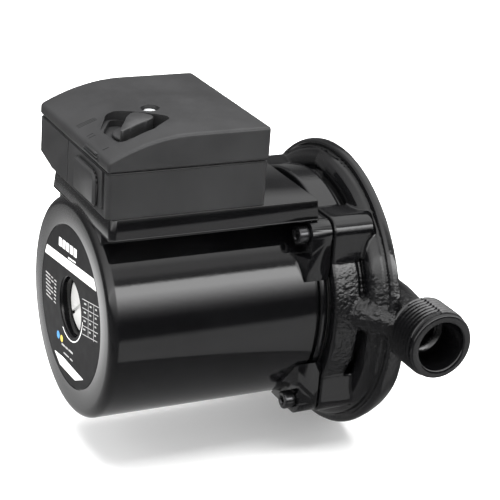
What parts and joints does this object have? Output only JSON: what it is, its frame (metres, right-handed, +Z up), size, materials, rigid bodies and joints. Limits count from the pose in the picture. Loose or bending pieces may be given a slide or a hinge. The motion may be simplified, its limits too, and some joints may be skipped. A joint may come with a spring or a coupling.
{
  "type": "circulator pump",
  "caption": "Black wet-rotor heating circulator pump: round motor, terminal box with a curved lid and a recessed speed selector, and a cast volute between threaded pipe ports in line.",
  "frame": {"origin": "where the axis through both ports crosses the axis of the shaft", "axes": "+Y along the pipe line towards the far port, +Z up through the terminal box, -X along the shaft towards the motor's rear face"},
  "size_m": [0.1664, 0.18, 0.1689],
  "materials": {
    "painted_casting": "gloss black paint over a casting",
    "black_plastic": "satin black",
    "black_steel": "blackened",
    "printed_foil": "printed label film",
    "nickel_plated": "bright plated brass",
    "zinc_steel": "zinc plated",
    "stainless_steel": "drawn stainless sheet",
    "lamination_steel": "stacked laminations",
    "enamelled_copper": "enamelled copper wire",
    "ceramic": "ground",
    "carbon": "moulded carbon",
    "rubber": "moulded",
    "impeller_plastic": "glass-filled plastic",
    "brass": "turned",
    "grey_plastic": "moulded"
  },
  "bodies": {
    "pump": {"base_gasket": "rubber", "base_screw_1": "zinc_steel", "base_screw_2": "zinc_steel", "bearing_plate": "stainless_steel", "flange_bolt_1": "black_steel", "flange_bolt_2": "black_steel", "flange_bolt_3": "black_steel", "flange_bolt_4": "black_steel", "front_bearing": "ceramic", "front_winding": "enamelled_copper", "gland_body": "black_plastic", "gland_cap": "black_plastic", "gland_lock_nut": "black_plastic", "gland_seal": "rubber", "housing_gasket": "rubber", "lid_pillar": "brass", "lid_screw": "zinc_steel", "lid_seal": "rubber", "motor_housing": "painted_casting", "pump_housing": "painted_casting", "rating_label": "printed_foil", "rear_bearing": "ceramic", "rear_bearing_holder": "stainless_steel", "rear_winding": "enamelled_copper", "rotor_can": "stainless_steel", "run_capacitor": "grey_plastic", "speed_switch": "grey_plastic", "stator_core": "lamination_steel", "terminal_block": "grey_plastic", "terminal_box_base": "black_plastic", "terminal_lid": "black_plastic", "terminal_screw_earth": "brass", "terminal_screw_line": "brass", "terminal_screw_neutral": "brass", "wear_ring": "stainless_steel"},
    "rotor": {"rotor_shaft": "ceramic", "rotor_core": "stainless_steel", "thrust_ring": "carbon", "impeller_clip": "stainless_steel", "impeller": "impeller_plastic"},
    "selector": {"speed_knob": "black_plastic", "switch_rotor": "grey_plastic"},
    "bleed_seal": {"bleed_o_ring": "rubber"},
    "bleed_plug": {"bleed_screw": "nickel_plated"}
  },
  "joints": [
    {"name": "rotor_spin", "type": "hinge", "parent": "pump", "child": "rotor", "pos_m": [0, 0, 0], "axis": [1, 0, 0], "continuous": true},
    {"name": "speed_selector", "type": "hinge", "parent": "pump", "child": "selector", "pos_m": [-0.1254, -0.0179, 0.088], "axis": [0, 0, 1], "range_deg": [-80, 0]},
    {"name": "bleed_travel", "type": "slide", "parent": "pump", "child": "bleed_seal", "axis": [-1, 0, 0], "range_m": [0, 0.006]},
    {"name": "bleed_turn", "type": "hinge", "parent": "bleed_seal", "child": "bleed_plug", "pos_m": [-0.1376, 0, 0], "axis": [-1, 0, 0], "range_deg": [0, 1440]}
  ],
  "couplings": [
    {"joint": "bleed_turn", "follows": "bleed_travel", "rad_per_m": 4188.8}
  ]
}
